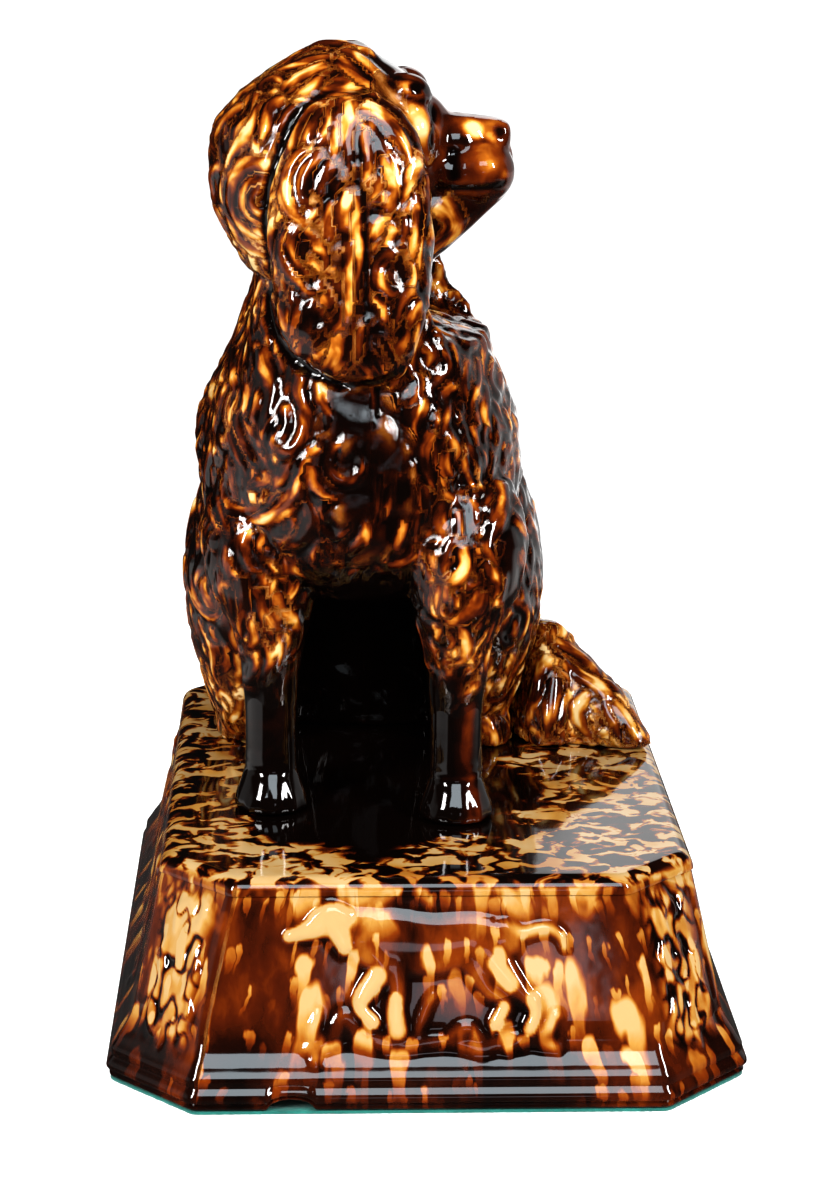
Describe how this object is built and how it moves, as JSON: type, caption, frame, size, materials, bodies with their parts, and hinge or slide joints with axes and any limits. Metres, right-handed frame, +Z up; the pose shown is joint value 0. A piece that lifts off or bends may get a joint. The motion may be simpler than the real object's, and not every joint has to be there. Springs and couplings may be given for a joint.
{
  "type": "pottery dog figure",
  "caption": "Hollow glazed pottery spaniel seated on a high canted-corner plinth, head turned to its left, with free front legs, feathered tail, relief panels and felt below",
  "frame": {"origin": "middle of the underside, on the surface that the figure stands on", "axes": "+Z up; the dog's chest faces -Y, and its head is turned to its own left, which is +X; the plinth is longest along Y"},
  "size_m": [0.177, 0.24, 0.2755],
  "materials": {
    "plinth_glaze": "very glossy lead glaze, brown streaks running down over cream-yellow clay, fine mottle on the deck",
    "dog_glaze": "very glossy lead glaze, amber and cream on the raised locks, dark brown pooled in the grooves",
    "felt": "dark teal wool felt"
  },
  "bodies": {
    "root": {"plinth": "plinth_glaze", "body_right_half": "dog_glaze", "body_left_half": "dog_glaze", "front_right_leg": "dog_glaze", "front_left_leg": "dog_glaze", "tail": "dog_glaze", "felt_pad": "felt"}
  },
  "joints": []
}
